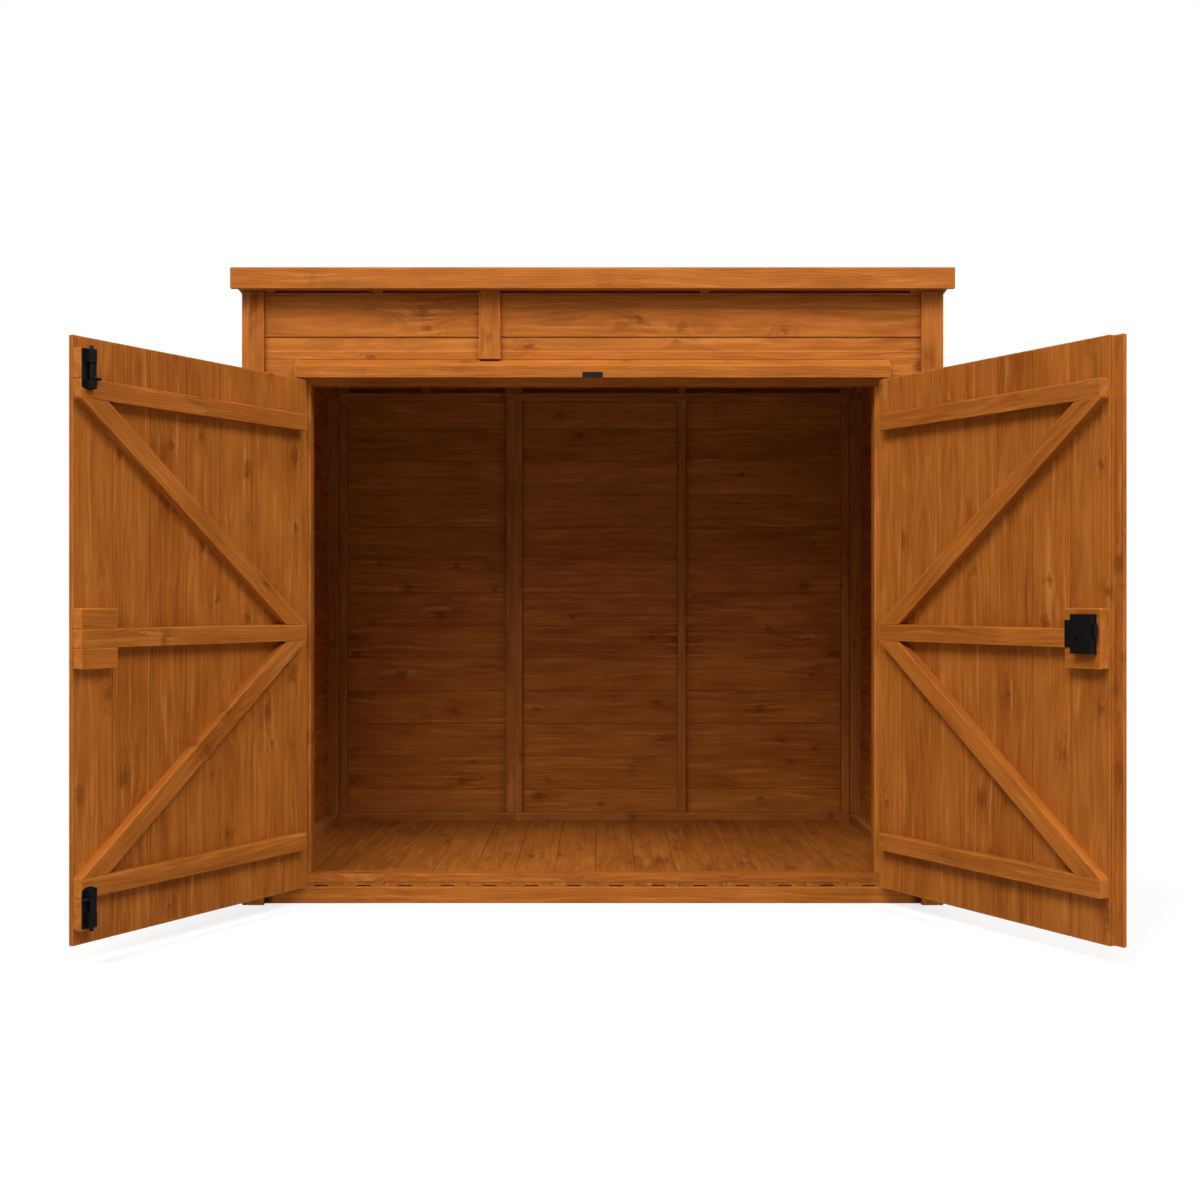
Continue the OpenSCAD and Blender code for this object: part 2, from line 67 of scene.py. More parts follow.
def eased(outline, arris):
    """Takes the arris off a closed outline (across, thick), drawn anticlockwise. A corner sharper than 30
    degrees becomes five points: one 4 mm back on each side, the two tangent points, and the middle of the
    quadratic curve between them (a quarter, a half and a quarter of the three). Also returns the wear,
    which is 1 on the arris; it pales the arris, partly as rubbed stain and partly as a painted highlight
    where the eased edge catches the light."""
    p = np.asarray(outline, float)
    back = np.roll(p, 1, 0) - p
    on = np.roll(p, -1, 0) - p
    back_l = np.linalg.norm(back, axis=1, keepdims=True)
    on_l = np.linalg.norm(on, axis=1, keepdims=True)
    back /= back_l
    on /= on_l
    turn = on[:, 0] * back[:, 1] - on[:, 1] * back[:, 0]
    sharp = (turn > 0.5) | ((turn > 0) & ((back * on).sum(1) > 0))
    cut = np.minimum(arris, 0.3 * np.minimum(back_l, on_l))
    inset = np.minimum(cut + 0.004, 0.45 * np.minimum(back_l, on_l))
    middle = p + 0.25 * cut * (back + on)
    five = np.stack([p + inset * back, p + cut * back, middle, p + cut * on, p + inset * on], 1)
    five[~sharp] = p[~sharp, None]
    wear = np.where(sharp[:, None], [0.0, 0.6, 1.0, 0.6, 0.0], 0.0)
    keep = sharp[:, None] | (np.arange(5) == 2)
    return five[keep], wear[keep]


def log():
    """Where a board was cut: how far along the log, where the pith lies beside it, and how dark its stain
    took."""
    return [rng.uniform(0, 60), rng.uniform(-0.05, 0.05), rng.uniform(0.02, 0.07) * rng.choice([-1, 1]),
            rng.random()]


def sawn(outline, origin, across, thick, start, stop, arris, tree=None, centre=None, broken=(1.0, 1.0)):
    """One board: the eased outline carried in a straight line along (across x thick), from start to stop.
    Both may be functions of the outline's points, so that an end can be cut on the slope. Rings lie at
    each end, one arris in (where the outline reaches its full size) and 4 mm further in; broken is 0 for
    an end that keeps its sharp edges. grain is (along, across, thick) from the pith of its log, and
    finish is (the board's own tone, the arris wear that is partly rubbed stain and partly a painted
    highlight, end grain)."""
    across = np.asarray(across, float)
    thick = np.asarray(thick, float)
    along = np.cross(across, thick)
    pts, wear = eased(outline, arris)
    size = np.ptp(pts, axis=0)
    middle = (pts.max(0) + pts.min(0)) / 2
    inward = (middle - pts) * 2 * np.minimum(arris, 0.2 * size) / size
    rings = np.stack([pts + broken[0] * inward, pts, pts, pts, pts, pts + broken[1] * inward])
    q = np.asarray(origin, float) + pts[:, :1] * across + pts[:, 1:] * thick
    first = np.broadcast_to(start(q) if callable(start) else start, (len(pts),))
    last = np.broadcast_to(stop(q) if callable(stop) else stop, (len(pts),))
    step = np.array([0.0, arris, arris + 0.004])
    t = np.concatenate([first[None] + step[:, None], last[None] - step[::-1, None]])
    co = (np.asarray(origin, float) + t[..., None] * along
          + rings[..., :1] * across + rings[..., 1:] * thick)
    *pith, tone = tree or log()
    grain = np.concatenate([t[..., None], rings - (middle if centre is None else centre)], -1) + pith
    finish = np.zeros(co.shape)
    finish[..., 0] = tone
    # The board's ends are paled like its arrises: partly rubbed stain, partly a painted highlight on the
    # eased edges.
    rubbed = np.array([0.3, 1.0, 0.0, 0.0, 1.0, 0.3]) * np.repeat(broken, 3)
    finish[..., 1] = np.maximum(wear, rubbed[:, None])
    finish[..., 2] = (np.array([1.0, 0.4, 0.0, 0.0, 0.4, 1.0]) * np.repeat(broken, 3))[:, None]
    n = len(pts)
    i = np.arange(n)
    j = (i + 1) % n
    ring = np.arange(5)[:, None] * n
    sides = np.stack(np.broadcast_arrays(ring + i, ring + j, ring + n + j, ring + n + i), -1)
    faces = sides.reshape(-1, 4).tolist() + [i[::-1].tolist(), (5 * n + i).tolist()]
    return co.reshape(-1, 3), faces, grain.reshape(-1, 3), finish.reshape(-1, 3)


def timber(low, high, axis, top=None, arris=0.0018):
    """A planed timber between two corners, its grain along axis 0, 1 or 2; top cuts an upright one to the
    roof."""
    a, b = (axis + 1) % 3, (axis + 2) % 3
    box = [(low[a], low[b]), (high[a], low[b]), (high[a], high[b]), (low[a], high[b])]
    return sawn(box, (0, 0, 0), np.eye(3)[a], np.eye(3)[b], low[axis], top or high[axis], arris)


def made(name, parts, material, body, nodes=(), place=None):
    """Joins parts into one piece, shades it smooth but for edges over 30 degrees, and hangs it on its
    body."""
    start = np.cumsum([0] + [len(part[0]) for part in parts])
    co = np.concatenate([part[0] for part in parts])
    co = place(co) if place else co
    faces = [[k + s for k in face] for part, s in zip(parts, start.tolist()) for face in part[1]]
    mesh = bpy.data.meshes.new(name)
    mesh.from_pydata(co.tolist(), [], faces)
    for at, attribute in enumerate(("grain", "finish")):
        values = np.concatenate([part[2 + at] for part in parts]).astype(np.float32)
        mesh.attributes.new(attribute, "FLOAT_VECTOR", "POINT").data.foreach_set("vector", values.ravel())
    mesh.polygons.foreach_set("use_smooth", np.ones(len(faces), bool))
    mesh.set_sharp_from_angle(angle=math.radians(30))
    mesh.materials.append(material)
    mesh.update()
    piece = bpy.data.objects.new(name, mesh)
    bpy.context.scene.collection.objects.link(piece)
    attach(piece, body)
    if nodes:
        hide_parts(*nodes)
    return piece


def add(tree, kind, sockets={}, **settings):
    """Places one shader node. Its sockets are linked where they are given a socket, and set where given a
    value."""
    node = tree.nodes.new("ShaderNode" + kind)
    for key, value in settings.items():
        setattr(node, key, value)
    for key, value in sockets.items():
        if isinstance(value, bpy.types.NodeSocket):
            tree.links.new(value, node.inputs[key])
        else:
            node.inputs[key].default_value = value
    return node


def tinted(tree, factor, a, b):
    """Mixes two colours by a factor, each a value or a socket, and returns the mixed colour's socket."""
    return add(tree, "Mix", {0: factor, 6: a, 7: b}, data_type="RGBA").outputs[2]


def group(name, takes, gives):
    """A shader node group with its inputs and outputs; returns the group, its input node and its output
    node."""
    tree = bpy.data.node_groups.new(name, "ShaderNodeTree")
    for label, kind in takes:
        tree.interface.new_socket(label, in_out="INPUT", socket_type="NodeSocket" + kind)
    for label, kind in gives:
        tree.interface.new_socket(label, in_out="OUTPUT", socket_type="NodeSocket" + kind)
    return tree, tree.nodes.new("NodeGroupInput"), tree.nodes.new("NodeGroupOutput")


def softwood_figure():
    """The figure of sawn pine. The grain wanders by a slow noise, growth rings are a sine of the distance
    from the pith, knots are the cores of stretched Voronoi cells, and stain takes unevenly in long
    streaks and blotches. Glint marks pale strokes in the streaks and round the knots, a painted highlight
    for the shimmer of the figure."""
    gives = [("Figure", "Float"), ("Knot", "Float"), ("Fibre", "Float"), ("Glint", "Float")]
    tree, given, out = group("softwood figure", [("Grain", "Vector"), ("Tone", "Float")], gives)
    shift = add(tree, "VectorMath", {0: (31.0, 7.0, 3.0), 3: given.outputs["Tone"]}, operation="SCALE")
    moved = add(tree, "VectorMath", {0: given.outputs["Grain"], 1: shift.outputs[0]}, operation="ADD")
    spot = moved.outputs[0]
    rough = add(tree, "TexNoise", {"Vector": spot, "Scale": 60.0, "Detail": 2.0})
    swirl = core = None
    for cells, ragged, rarity in (((3.4, 6.0, 0.0), 0.16, 0.66), ((7.0, 11.0, 0.0), 0.24, 0.74)):
        torn = add(tree, "VectorMath", {0: rough.outputs["Color"], 3: ragged}, operation="SCALE")
        cell = add(tree, "VectorMath", {0: spot, 1: cells, 2: torn.outputs[0]}, operation="MULTIPLY_ADD")
        knot = add(tree, "TexVoronoi", {"Vector": cell.outputs[0], "Scale": 1.0}, voronoi_dimensions="2D")
        chosen = add(tree, "SeparateXYZ", {0: knot.outputs["Color"]})
        some = add(tree, "MapRange", {"Value": chosen.outputs[0], "From Min": rarity,
                                      "From Max": rarity + 0.15})
        for reach, kept in ((0.42, "swirl"), (0.13, "core")):
            fade = {"Value": knot.outputs["Distance"], "From Min": 0.03, "From Max": reach, "To Min": 1.0,
                    "To Max": 0.0}
            spread = add(tree, "MapRange", fade, interpolation_type="SMOOTHSTEP")
            here = add(tree, "Math", {0: spread.outputs[0], 1: some.outputs[0]}, operation="MULTIPLY")
            mask = here.outputs[0]
            if kept == "swirl":
                swirl = add(tree, "Math", {0: mask, 1: swirl or 0.0}, operation="MAXIMUM").outputs[0]
            else:
                core = add(tree, "Math", {0: mask, 1: core or 0.0}, operation="MAXIMUM").outputs[0]
    slow = add(tree, "VectorMath", {0: spot, 1: (1.7, 7.0, 7.0)}, operation="MULTIPLY")
    wander = add(tree, "TexNoise", {"Vector": slow.outputs[0], "Scale": 1.0, "Detail": 2.0,
                                    "Roughness": 0.5})
    middle = add(tree, "VectorMath", {0: wander.outputs["Color"], 1: (0.5, 0.5, 0.5)}, operation="SUBTRACT")
    sway = add(tree, "VectorMath", {0: middle.outputs[0], 1: (0.0, 0.055, 0.055)}, operation="MULTIPLY")
    bent = add(tree, "VectorMath", {0: given.outputs["Grain"], 1: sway.outputs[0]}, operation="ADD")
    flat = add(tree, "VectorMath", {0: bent.outputs[0], 1: (0.0, 1.0, 1.0)}, operation="MULTIPLY")
    radius = add(tree, "VectorMath", {0: flat.outputs[0]}, operation="LENGTH")
    pushed = add(tree, "Math", {0: swirl, 1: 0.014, 2: radius.outputs["Value"]}, operation="MULTIPLY_ADD")
    ring_apart = 0.0075
    phase = add(tree, "Math", {0: pushed.outputs[0], 1: 2 * math.pi / ring_apart}, operation="MULTIPLY")
    wave = add(tree, "Math", {0: phase.outputs[0]}, operation="SINE")
    ring = add(tree, "MapRange", {"Value": wave.outputs[0], "From Min": -0.6, "From Max": 1.0},
               interpolation_type="SMOOTHSTEP")
    drawn = add(tree, "VectorMath", {0: spot, 1: sway.outputs[0]}, operation="ADD")
    parts = []
    for scale, detail in (((3.6, 70.0, 70.0), 4.0), ((4.5, 12.0, 12.0), 3.0), ((24.0, 420.0, 420.0), 2.0)):
        long = add(tree, "VectorMath", {0: drawn.outputs[0], 1: scale}, operation="MULTIPLY")
        parts.append(add(tree, "TexNoise", {"Vector": long.outputs[0], "Scale": 1.0, "Detail": detail,
                                            "Roughness": 0.55}).outputs["Fac"])
    streak, blotch, fibre = parts
    mix = add(tree, "Math", {0: ring.outputs[0], 1: 0.16, 2: -0.08}, operation="MULTIPLY_ADD")
    for part, amount in ((streak, 0.95), (blotch, 0.95), (fibre, 0.4), (swirl, -0.20)):
        mix = add(tree, "Math", {0: part, 1: amount, 2: mix.outputs[0]}, operation="MULTIPLY_ADD")
    figure = add(tree, "MapRange", {"Value": mix.outputs[0], "From Min": 0.72, "From Max": 1.58})
    # Glint: a painted highlight where the streaks run high, more of it round the knots.
    lifted = add(tree, "Math", {0: swirl, 1: 0.12, 2: streak}, operation="MULTIPLY_ADD")
    glint = add(tree, "MapRange", {"Value": lifted.outputs[0], "From Min": 0.60, "From Max": 0.74})
    height = add(tree, "Math", {0: ring.outputs[0], 1: 0.5, 2: fibre}, operation="MULTIPLY_ADD")
    tree.links.new(figure.outputs[0], out.inputs["Figure"])
    tree.links.new(core, out.inputs["Knot"])
    tree.links.new(height.outputs[0], out.inputs["Fibre"])
    tree.links.new(glint.outputs[0], out.inputs["Glint"])
    return tree


def arris_wear_and_highlight():
    """Where hands and rain have rubbed the stain thin, and where the eased edges catch the light: the arris
    wear, broken up by a noise along the edge. The paler tint it lays is partly real wear and partly a
    painted highlight."""
    takes = [("Grain", "Vector"), ("Wear", "Float")]
    tree, given, out = group("arris wear and highlight", takes, [("Rubbed", "Float")])
    long = add(tree, "VectorMath", {0: given.outputs["Grain"], 1: (18.0, 60.0, 60.0)}, operation="MULTIPLY")
    patch = add(tree, "TexNoise", {"Vector": long.outputs[0], "Scale": 1.0, "Detail": 3.0, "Roughness": 0.6})
    broken = add(tree, "MapRange", {"Value": patch.outputs["Fac"], "From Min": 0.35, "From Max": 0.62,
                                    "To Min": 0.25, "To Max": 1.0})
    rubbed = add(tree, "Math", {0: given.outputs["Wear"], 1: broken.outputs[0]}, operation="MULTIPLY")
    tree.links.new(rubbed.outputs[0], out.inputs["Rubbed"])
    return tree


figure_group = softwood_figure()
arris_wear_and_highlight_group = arris_wear_and_highlight()


def stained(name, dark, light, knot, worn, sheen, pith=None):
    """Stained softwood: two stain colours mixed by the figure, darker knots and end grain, paler arrises
    that are partly rubbed stain and partly a painted highlight, and paler painted glints. A timber with no
    grain of its own takes it from the object's coordinates, along X, moved to a pith beside it."""
    material = bpy.data.materials.new(name)
    material.use_nodes = True
    tree = material.node_tree
    shader = tree.nodes["Principled BSDF"]
    grain = add(tree, "Attribute", attribute_name="grain").outputs["Vector"]
    if pith:
        place = add(tree, "TexCoord").outputs["Object"]
        grain = add(tree, "VectorMath", {0: place, 1: pith}, operation="ADD").outputs[0]
    finish = add(tree, "SeparateXYZ", {0: add(tree, "Attribute", attribute_name="finish").outputs["Vector"]})
    figure = add(tree, "Group", node_tree=figure_group)
    tree.links.new(grain, figure.inputs["Grain"])
    tree.links.new(finish.outputs[0], figure.inputs["Tone"])
    rubbed = add(tree, "Group", node_tree=arris_wear_and_highlight_group)
    tree.links.new(grain, rubbed.inputs["Grain"])
    tree.links.new(finish.outputs[1], rubbed.inputs["Wear"])
    tone = add(tree, "MapRange", {"Value": finish.outputs[0], "To Min": -0.12, "To Max": 0.12})
    value = add(tree, "Math", {0: figure.outputs["Figure"], 1: tone.outputs[0]}, operation="ADD",
                use_clamp=True)
    colour = tinted(tree, value.outputs[0], dark, light)
    # The glint tint is a painted highlight: a paler, yellower copy of the light stain.
    glint = (1.15 * light[0], 1.32 * light[1], 1.9 * light[2], 1.0)
    # The worn tint on the arrises is partly rubbed stain and partly a painted highlight.
    layers = ((figure.outputs["Glint"], 0.6, glint), (figure.outputs["Knot"], 0.74, knot),
              (finish.outputs[2], 0.35, knot), (rubbed.outputs["Rubbed"], 0.50, worn))
    for mask, amount, tint in layers:
        much = add(tree, "Math", {0: mask, 1: amount}, operation="MULTIPLY")
        colour = tinted(tree, much.outputs[0], colour, tint)
    rough = add(tree, "MapRange", {"Value": value.outputs[0], "To Min": sheen + 0.12,
                                   "To Max": sheen - 0.06})
    bump = add(tree, "Bump", {"Strength": 0.35, "Distance": 0.0006, "Height": figure.outputs["Fibre"]})
    tree.links.new(colour, shader.inputs["Base Color"])
    tree.links.new(rough.outputs[0], shader.inputs["Roughness"])
    tree.links.new(bump.outputs[0], shader.inputs["Normal"])
    shader.inputs["Specular IOR Level"].default_value = 0.12
    return material


def finished(node, material, edge):
    """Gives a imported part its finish, with its loose triangles joined and its edges broken."""
    part = frame["nodes"][node]
    part.data.materials.clear()
    part.data.materials.append(material)
    part.modifiers.new("join", "WELD").merge_threshold = 0.00002
    round_over = part.modifiers.new("broken edges", "BEVEL")
    round_over.width = edge
    round_over.segments = 2
    round_over.limit_method = "ANGLE"
    round_over.angle_limit = math.radians(40)


# The fourth colour, the worn tint, pales the arrises: partly rubbed stain, partly a painted highlight where
# the edges catch the light.
outer_stain = ((0.245, 0.060, 0.0046, 1.0), (0.465, 0.146, 0.020, 1.0), (0.165, 0.042, 0.0034, 1.0),
               (0.640, 0.205, 0.028, 1.0), 0.60)
outer_wood = stained("stained softwood", *outer_stain)
# The framing inside takes a darker, bluer copy of the stain: painted shade for the dim inside of the shed.
inner_wood_painted_shade = stained("inner softwood with painted shade", (0.228, 0.063, 0.0080, 1.0), (0.420, 0.141, 0.027, 1.0),
                     (0.150, 0.044, 0.0060, 1.0), (0.480, 0.162, 0.031, 1.0), 0.68)

low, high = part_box("floor_joists")
joist_t = 0.028
joists = [timber((low.x, y, low.z), (high.x, y + joist_t, high.z), 0)
          for y in np.linspace(low.y, high.y - joist_t, 5)]
made("joists", joists, outer_wood, "shed", ["floor_joists"])

# ---- Floor boards --------------------------------------------------------------------------------------
# Tongued and grooved softwood boards run from front to back, started from the right-hand wall. Each has
# a shallow relief slot planed along its underside, which shows as a row of dark slots above the front
# joist.
cover = 0.118
floor_wood = stained("floor softwood", (0.200, 0.051, 0.0044, 1.0), (0.385, 0.120, 0.0170, 1.0),
                     (0.135, 0.037, 0.0034, 1.0), (0.460, 0.145, 0.022, 1.0), 0.64)


def tongued(width, board_t, slot_w, slot_t):
    """Outline of a tongued and grooved board: groove on the left, tongue on the right, relief slot
    underneath. The last board is ripped to what is left and keeps neither."""
    gap = 0.0008
    side = width - gap
    if width < cover - 0.001:
        return np.array([(gap, 0.0), (side, 0.0), (side, board_t), (gap, board_t)])
    slot = (width - slot_w) / 2
    tip, root = side + 0.006, gap + 0.006
    under_face = [(gap, 0.0), (slot, 0.0), (slot + 0.001, slot_t), (slot + slot_w - 0.001, slot_t),
                  (slot + slot_w, 0.0), (side, 0.0)]
    tongue = [(side, 0.0042), (tip, 0.0042), (tip, 0.0078), (side, 0.0078)]
    groove = [(gap, 0.0082), (root, 0.0082), (root, 0.0038), (gap, 0.0038)]
    return np.array(under_face + tongue + [(side, board_t), (gap, board_t)] + groove)


low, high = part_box("floor_boards")
slot_w = 0.04
boards = []
for x in np.arange(high.x, low.x, -cover):
    outline = tongued(min(cover, x - low.x), high.z - low.z, slot_w, 0.004)
    boards.append(sawn(outline, (x, 0, low.z), (-1, 0, 0), (0, 0, 1), low.y, high.y, 0.0012,
                       broken=(0.0, 0.0)))
made("floor", boards, floor_wood, "shed", ["floor_boards"])

# ---- Wall frames ---------------------------------------------------------------------------------------
# Each wall is framed in planed 28 mm studs between a bottom rail on the floor and a top rail under the
# roof. The back and front frames are two panels bolted side by side, so two of their studs stand
# together.


def under(y):
    """Height of the roof's underside, which falls evenly from the front to the back."""
    return front_h - (y + half_d) * drop / depth


def to_roof(q):
    """Distance from each outline point up to just under the roof."""
    return under(q[:, 1]) - clear - q[:, 2]


def to_rail(q):
    """Distance from each outline point up to the underside of the sloping top rail."""
    return to_roof(q) - stud


def lengthwise(x0, x1, y0, y1, b0, b1):
    """A timber with its grain along X between two heights above the roof's underside, sheared to follow
    the slope."""
    ys = np.array([y0, y1, y1, y0])
    outline = np.stack([ys, under(ys) + np.array([b0, b0, b1, b1])], 1)
    return sawn(outline, (0, 0, 0), (0, 1, 0), (0, 0, 1), x0, x1, 0.0018)


def downhill(x0, x1, y0, y1, b0, b1):
    """A timber with its grain down the slope between two heights above the roof's underside, its ends cut
    plumb."""
    angle = math.atan2(drop, depth)
    up = np.array([0, math.sin(angle), math.cos(angle)])
    deep = np.array([b0, b1]) * math.cos(angle)
    outline = [(-x1, deep[0]), (-x0, deep[0]), (-x0, deep[1]), (-x1, deep[1])]
    start = np.array([0, -half_d, front_h])
    return sawn(outline, start, (-1, 0, 0), up, lambda q: (y0 - q[:, 1]) / math.cos(angle),
                lambda q: (y1 - q[:, 1]) / math.cos(angle), 0.0018)


stud = 0.028
floor_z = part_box("floor_boards")[1].z
half_w, half_d = 0.9505, 0.5875
inner_w, inner_d = 0.9145, 0.5515
front_h = 1.707
drop, depth = 0.117, 2 * half_d
clear = 0.0003
joint_x, mid_stud = -0.287, 0.2995
jamb_x, jamb_out = 0.789, 0.817
head_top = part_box("door_head")[1].z
stud_foot = floor_z + stud
back = [timber((x, inner_d, stud_foot), (x + stud, half_d, 0), 2, to_rail)
        for x in (-inner_w, joint_x - stud, joint_x, mid_stud, inner_w - stud)]
sides = [timber((x, y, stud_foot), (x + half_w - inner_w, y + stud, 0), 2, to_rail)
         for x in (-half_w, inner_w) for y in (-inner_d, -stud / 2, inner_d - stud)]
front = [timber((x, -half_d, stud_foot), (x + stud, -inner_d, 0), 2, to_rail)
         for x in (-inner_w, inner_w - stud)]
front += [timber((x, -half_d, head_top), (x + stud, -inner_d, 0), 2, to_rail)
          for x in (-jamb_out, joint_x - stud, joint_x, mid_stud, jamb_x)]
made("back_studs", back, inner_wood_painted_shade, "shed", ["back_wall_studs"])
made("side_studs", sides, inner_wood_painted_shade, "shed", ["side_wall_studs"])
made("front_studs", front, inner_wood_painted_shade, "shed", ["front_wall_studs"])

back = []
for x0, x1 in ((-half_w, joint_x), (joint_x, half_w)):
    back.append(timber((x0, inner_d, floor_z), (x1, half_d, stud_foot), 0))
    back.append(lengthwise(x0, x1, inner_d, half_d, -stud - clear, -clear))
sides = []
for x in (-half_w, inner_w):
    sides.append(timber((x, -inner_d, floor_z), (x + half_w - inner_w, inner_d, stud_foot), 1))
    sides.append(downhill(x, x + half_w - inner_w, -inner_d, inner_d, -stud - clear, -clear))
front = [timber((x, -half_d, floor_z), (x + half_w - jamb_out, -inner_d, stud_foot), 0)
         for x in (-half_w, jamb_out)]
front.append(lengthwise(-half_w, half_w, -half_d, -inner_d, -stud - clear, -clear))
made("back_rails", back, inner_wood_painted_shade, "shed", ["back_wall_rails"])
made("side_rails", sides, inner_wood_painted_shade, "shed", ["side_wall_rails"])
made("front_rails", front, inner_wood_painted_shade, "shed", ["front_wall_rails"])

# ---- Wall boards ---------------------------------------------------------------------------------------
# The walls are clad in horizontal shiplap, tongued into the board above. The upper part of each face is
# set back above a lip that catches the light, and the board above throws a thin shadow over its top.
board_t = 0.012
course_z = 0.050


def shiplap(low=0.0, high=cover):
    """Outline of a shiplap board between two heights. Its face is set back above a lip 78 mm up, by a
    slope as deep as it is high; a whole board has a tongue on top and a groove underneath, and a ripped
    edge is plain."""
    gap = 0.0010
    side = high - gap
    set_back = board_t - 0.0032
    head = [(high, 0.0), (high, set_back)]
    if high == cover:
        tip = side + 0.006
        head = [(side, 0.0), (side, 0.0045), (tip, 0.0045), (tip, 0.006), (side, 0.006), (side, set_back)]
    # The lip's sloped corner takes full arris wear, so the worn tint paints a highlight along every lip.
    lip = [(z, t) for z, t in ((0.0812, set_back), (0.078, board_t)) if z > low + 0.001]
    foot = [(low + gap, board_t), (low + gap, 0.0)]
    if low == 0:
        foot = [(gap, board_t), (gap, 0.0066), (0.0068, 0.0066), (0.0068, 0.0041), (gap, 0.0041), (gap, 0.0)]
    return np.array(head + lip + foot)


def clad(inner, outward, ends, z0, z1, gap=None):
    """Shiplap from z0 up to z1 on the plane through inner, facing outward, between two distances along
    the wall. Where gap gives a doorway's half width and the height over it, each board is cut round it,
    its pieces from one log."""
    boards = []
    courses = np.arange(int((z0 - course_z + 0.001) / cover), math.ceil((z1 - course_z) / cover))
    for z in course_z + cover * courses:
        tree, centre = log(), (cover / 2, board_t / 2)
        runs = [(*ends, 0.0, (1.0, 1.0))]
        if gap and z < gap[1]:
            runs = [(ends[0], -gap[0], 0.0, (1.0, 0.0)), (gap[0], ends[1], 0.0, (0.0, 1.0))]
            runs += [(-gap[0], gap[0], gap[1] - z, (0.0, 0.0))] if z + cover > gap[1] else []
        for first, last, low, broken in runs:
            foot = np.array(inner) + (0, 0, z)
            boards.append(sawn(shiplap(low), foot, (0, 0, 1), outward, first, last, 0.0010, tree, centre,
                               broken))
    return boards


def cut_to_roof(piece):
    """Cuts a finished wall off along the roof's underside and closes each board's cut end."""
    bm = bmesh.new()
    bm.from_mesh(piece.data)
    cut = bmesh.ops.bisect_plane(bm, geom=bm.verts[:] + bm.edges[:] + bm.faces[:], clear_outer=True,
                                 plane_co=(0, -half_d, front_h - clear), plane_no=(0, drop, depth))
    edges = [e for e in cut["geom_cut"] if isinstance(e, bmesh.types.BMEdge)]
    bmesh.ops.holes_fill(bm, edges=edges, sides=0)
    bm.to_mesh(piece.data)
    bm.free()


clad_w, clad_d = half_w + board_t, half_d + board_t
wall_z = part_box("back_wall_cladding")[0].z
over_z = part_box("front_top_cladding")[0].z
along_w, along_d = (-half_w, half_w), (-clad_d, clad_d)
side_top = 1.702
doorway = (jamb_out, over_z)
walls = [
    ("back_cladding", clad((0, half_d, 0), (0, 1, 0), along_w, wall_z, under(half_d))),
    ("left_cladding", clad((-half_w, 0, 0), (-1, 0, 0), along_d, wall_z, side_top)),
    ("right_cladding", clad((half_w, 0, 0), (1, 0, 0), along_d, wall_z, side_top)),
    ("front_cladding", clad((0, -half_d, 0), (0, -1, 0), along_w, wall_z, under(-clad_d), doorway))]
stands_for = (["back_wall_cladding"], ["left_wall_cladding"], ["right_wall_cladding"],
              ["front_side_cladding", "front_top_cladding"])
for (name, boards), nodes in zip(walls, stands_for):
    cut_to_roof(made(name, boards, outer_wood, "shed", nodes))

# ---- Doorway -------------------------------------------------------------------------------------------
# Planed jambs, head and sill line the opening. The head and the sill are each bored for the tower bolt
# that shoots into them, and the sill is the step that wheels roll over.
low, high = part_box("door_jambs")
jambs = [timber((x, low.y, low.z), (x + high.x - jamb_x, high.y, high.z), 2) for x in (low.x, jamb_x)]
made("jambs", jambs, outer_wood, "shed", ["door_jambs"])

rail_wood = stained("stained rail", *outer_stain, (0.3, 0.525, -1.44))
sill_wood = stained("stained sill", *outer_stain, (5.3, 0.525, -0.035))
for node, material in (("door_head", rail_wood), ("door_sill", sill_wood)):
    finished(node, material, 0.0018)

# ---- Roof ----------------------------------------------------------------------------------------------
# Rafters fall from front to back on the top rails, with edge rails round them that carry the overhang.
# Tongued and grooved boards are nailed across the rafters.
rafter_h = 0.040
starts = (-inner_w, -0.614, joint_x - stud, joint_x, mid_stud, inner_w - stud)
reach = 0.6135
rafters = [downhill(x, x + stud, -reach, reach, 0, rafter_h) for x in starts]
made("rafters", rafters, inner_wood_painted_shade, "shed", ["rafters"])
low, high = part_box("roof_edge_rails")
edges = [downhill(x, x + stud, -reach, reach, 0, rafter_h) for x in (low.x, high.x - stud)]
edges += [lengthwise(low.x, high.x, y, y + stud, 0, rafter_h) for y in (low.y, high.y - stud)]
made("edge_rails", edges, inner_wood_painted_shade, "shed", ["roof_edge_rails"])
low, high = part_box("roof_boards")
boards = []
for y in np.arange(low.y, high.y, cover):
    width = min(cover, high.y - y)
    outline = tongued(width, board_t, slot_w, 0.002)
    outline[:, 1] += under(y + outline[:, 0]) + rafter_h + clear
    outline[:, 0] += y
    boards.append(sawn(outline, (0, 0, 0), (0, 1, 0), (0, 0, 1), low.x, high.x, 0.0012))
made("roof_deck", boards, inner_wood_painted_shade, "shed", ["roof_boards"])

# ---- Roof felt -----------------------------------------------------------------------------------------
# Two lengths of green mineral felt lie along the roof, the upper one lapped 80 mm over the lower. They
# are held down by galvanised clout nails along the lap and round the edge.


